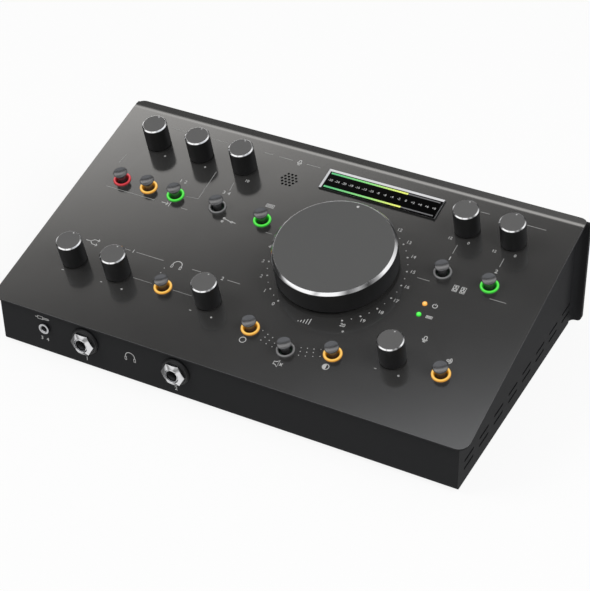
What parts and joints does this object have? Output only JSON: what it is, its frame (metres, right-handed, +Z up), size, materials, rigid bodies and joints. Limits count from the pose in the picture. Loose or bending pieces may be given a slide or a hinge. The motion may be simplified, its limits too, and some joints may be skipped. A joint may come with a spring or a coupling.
{
  "type": "studio monitor controller",
  "caption": "Desktop studio monitor controller: sloped steel case with rotary level knobs, one large volume knob, lit push buttons, a bar meter, phones jacks and rear sockets.",
  "frame": {"origin": "centre of the overall box on the plane that the rubber feet stand on", "axes": "+X to the user's right along the front, +Y from the user towards the rear sockets, +Z up"},
  "size_m": [0.324, 0.1906, 0.0922],
  "materials": {
    "cover_paint": "satin dark grey powder coat",
    "tray_paint": "satin dark grey powder coat",
    "panel_paint": "fine black powder coat",
    "knob_plastic": "soft black moulding",
    "knob_disc": "satin grey disc with a bright turned chamfer",
    "button_plastic": "glossy dark grey moulding",
    "lamp_red": "lit translucent ring",
    "lamp_amber": "lit translucent ring",
    "lamp_green": "lit translucent ring",
    "lamp_grey": "unlit translucent ring",
    "smoked_lens": "polished black window",
    "bright_metal": "polished edge",
    "chrome": "polished nut",
    "collar_plastic": "moulded black collar",
    "socket_plastic": "moulded black socket",
    "circuit_board": "green solder mask",
    "shaft_steel": "bare steel",
    "rubber": "moulded rubber"
  },
  "bodies": {
    "case": {"base_tray": "tray_paint", "top_cover": "cover_paint", "rear_panel": "panel_paint", "control_board": "circuit_board", "socket_board": "socket_plastic", "foot_front_left": "rubber", "foot_front_right": "rubber", "foot_rear_left": "rubber", "foot_rear_right": "rubber", "meter_window": "smoked_lens", "meter_bezel": "bright_metal", "talkback_mic": "shaft_steel", "power_light": "lamp_amber", "usb_light": "lamp_green", "phantom_ring": "lamp_red", "line_ring": "lamp_amber", "input_ring": "lamp_green", "track_ring": "lamp_grey", "computer_ring": "lamp_green", "phones_ring": "lamp_amber", "mono_ring": "lamp_amber", "mute_ring": "lamp_grey", "dim_ring": "lamp_amber", "cue_ring": "lamp_amber", "speaker_a_ring": "lamp_grey", "speaker_b_ring": "lamp_green", "phones_jack_1": "socket_plastic", "phones_collar_1": "collar_plastic", "phones_nut_1": "chrome", "phones_jack_2": "socket_plastic", "phones_collar_2": "collar_plastic", "phones_nut_2": "chrome", "stereo_in_jack": "bright_metal", "combo_socket_1": "socket_plastic", "combo_socket_2": "socket_plastic"},
    "gain_knob_1_turning": {"gain_knob_1": "knob_plastic"},
    "gain_knob_2_turning": {"gain_knob_2": "knob_plastic"},
    "track_trim_knob_turning": {"track_trim_knob": "knob_plastic"},
    "direct_mix_knob_turning": {"direct_mix_knob": "knob_plastic"},
    "phones_knob_1_turning": {"phones_knob_1": "knob_plastic"},
    "phones_knob_2_turning": {"phones_knob_2": "knob_plastic"},
    "talkback_knob_turning": {"talkback_knob": "knob_plastic"},
    "trim_knob_a_turning": {"trim_knob_a": "knob_plastic"},
    "trim_knob_b_turning": {"trim_knob_b": "knob_plastic"},
    "volume": {"volume_knob": "knob_plastic", "volume_cap": "knob_disc", "volume_shaft": "shaft_steel"},
    "phantom_push": {"phantom_button": "button_plastic"},
    "line_push": {"line_button": "button_plastic"},
    "input_push": {"input_button": "button_plastic"},
    "track_push": {"track_button": "button_plastic"},
    "computer_push": {"computer_button": "button_plastic"},
    "phones_push": {"phones_button": "button_plastic"},
    "mono_push": {"mono_button": "button_plastic"},
    "mute_push": {"mute_button": "button_plastic"},
    "dim_push": {"dim_button": "button_plastic"},
    "cue_push": {"cue_button": "button_plastic"},
    "speaker_a_push": {"speaker_a_button": "button_plastic"},
    "speaker_b_push": {"speaker_b_button": "button_plastic"},
    "rocker": {"power_rocker": "button_plastic"}
  },
  "joints": [
    {"name": "gain_knob_1_turn", "type": "hinge", "parent": "case", "child": "gain_knob_1_turning", "pos_m": [-0.1256, 0.05729, 0.07279], "axis": [0, -0.2419, 0.9703], "range_deg": [-150, 150]},
    {"name": "gain_knob_2_turn", "type": "hinge", "parent": "case", "child": "gain_knob_2_turning", "pos_m": [-0.09344, 0.05729, 0.07279], "axis": [0, -0.2419, 0.9703], "range_deg": [-150, 150]},
    {"name": "track_trim_knob_turn", "type": "hinge", "parent": "case", "child": "track_trim_knob_turning", "pos_m": [-0.0612, 0.05729, 0.07279], "axis": [0, -0.2419, 0.9703], "range_deg": [-150, 150]},
    {"name": "direct_mix_knob_turn", "type": "hinge", "parent": "case", "child": "direct_mix_knob_turning", "pos_m": [-0.1256, -0.04744, 0.04668], "axis": [0, -0.2419, 0.9703], "range_deg": [-150, 150]},
    {"name": "phones_knob_1_turn", "type": "hinge", "parent": "case", "child": "phones_knob_1_turning", "pos_m": [-0.09344, -0.04744, 0.04668], "axis": [0, -0.2419, 0.9703], "range_deg": [-150, 150]},
    {"name": "phones_knob_2_turn", "type": "hinge", "parent": "case", "child": "phones_knob_2_turning", "pos_m": [-0.02896, -0.04744, 0.04668], "axis": [0, -0.2419, 0.9703], "range_deg": [-150, 150]},
    {"name": "talkback_knob_turn", "type": "hinge", "parent": "case", "child": "talkback_knob_turning", "pos_m": [0.09456, -0.04744, 0.04668], "axis": [0, -0.2419, 0.9703], "range_deg": [-150, 150]},
    {"name": "trim_knob_a_turn", "type": "hinge", "parent": "case", "child": "trim_knob_a_turning", "pos_m": [0.09456, 0.05729, 0.07279], "axis": [0, -0.2419, 0.9703], "range_deg": [-150, 150]},
    {"name": "trim_knob_b_turn", "type": "hinge", "parent": "case", "child": "trim_knob_b_turning", "pos_m": [0.12496, 0.05729, 0.07279], "axis": [0, -0.2419, 0.9703], "range_deg": [-150, 150]},
    {"name": "volume_turn", "type": "hinge", "parent": "case", "child": "volume", "pos_m": [0.03248, 0.00362, 0.05941], "axis": [0, -0.2419, 0.9703], "range_deg": [-150, 150]},
    {"name": "phantom_press", "type": "slide", "parent": "case", "child": "phantom_push", "axis": [0, 0.2419, -0.9703], "range_m": [0, 0.0015], "stiffness_N_per_m": 400, "springref_m": -0.001},
    {"name": "line_press", "type": "slide", "parent": "case", "child": "line_push", "axis": [0, 0.2419, -0.9703], "range_m": [0, 0.0015], "stiffness_N_per_m": 400, "springref_m": -0.001},
    {"name": "input_press", "type": "slide", "parent": "case", "child": "input_push", "axis": [0, 0.2419, -0.9703], "range_m": [0, 0.0015], "stiffness_N_per_m": 400, "springref_m": -0.001},
    {"name": "track_press", "type": "slide", "parent": "case", "child": "track_push", "axis": [0, 0.2419, -0.9703], "range_m": [0, 0.0015], "stiffness_N_per_m": 400, "springref_m": -0.001},
    {"name": "computer_press", "type": "slide", "parent": "case", "child": "computer_push", "axis": [0, 0.2419, -0.9703], "range_m": [0, 0.0015], "stiffness_N_per_m": 400, "springref_m": -0.001},
    {"name": "phones_press", "type": "slide", "parent": "case", "child": "phones_push", "axis": [0, 0.2419, -0.9703], "range_m": [0, 0.0015], "stiffness_N_per_m": 400, "springref_m": -0.001},
    {"name": "mono_press", "type": "slide", "parent": "case", "child": "mono_push", "axis": [0, 0.2419, -0.9703], "range_m": [0, 0.0015], "stiffness_N_per_m": 400, "springref_m": -0.001},
    {"name": "mute_press", "type": "slide", "parent": "case", "child": "mute_push", "axis": [0, 0.2419, -0.9703], "range_m": [0, 0.0015], "stiffness_N_per_m": 400, "springref_m": -0.001},
    {"name": "dim_press", "type": "slide", "parent": "case", "child": "dim_push", "axis": [0, 0.2419, -0.9703], "range_m": [0, 0.0015], "stiffness_N_per_m": 400, "springref_m": -0.001},
    {"name": "cue_press", "type": "slide", "parent": "case", "child": "cue_push", "axis": [0, 0.2419, -0.9703], "range_m": [0, 0.0015], "stiffness_N_per_m": 400, "springref_m": -0.001},
    {"name": "speaker_a_press", "type": "slide", "parent": "case", "child": "speaker_a_push", "axis": [0, 0.2419, -0.9703], "range_m": [0, 0.0015], "stiffness_N_per_m": 400, "springref_m": -0.001},
    {"name": "speaker_b_press", "type": "slide", "parent": "case", "child": "speaker_b_push", "axis": [0, 0.2419, -0.9703], "range_m": [0, 0.0015], "stiffness_N_per_m": 400, "springref_m": -0.001},
    {"name": "power_rocker_tilt", "type": "hinge", "parent": "case", "child": "rocker", "pos_m": [0.12798, 0.08948, 0.0386], "axis": [1, 0, 0], "range_deg": [-16, 0]}
  ]
}
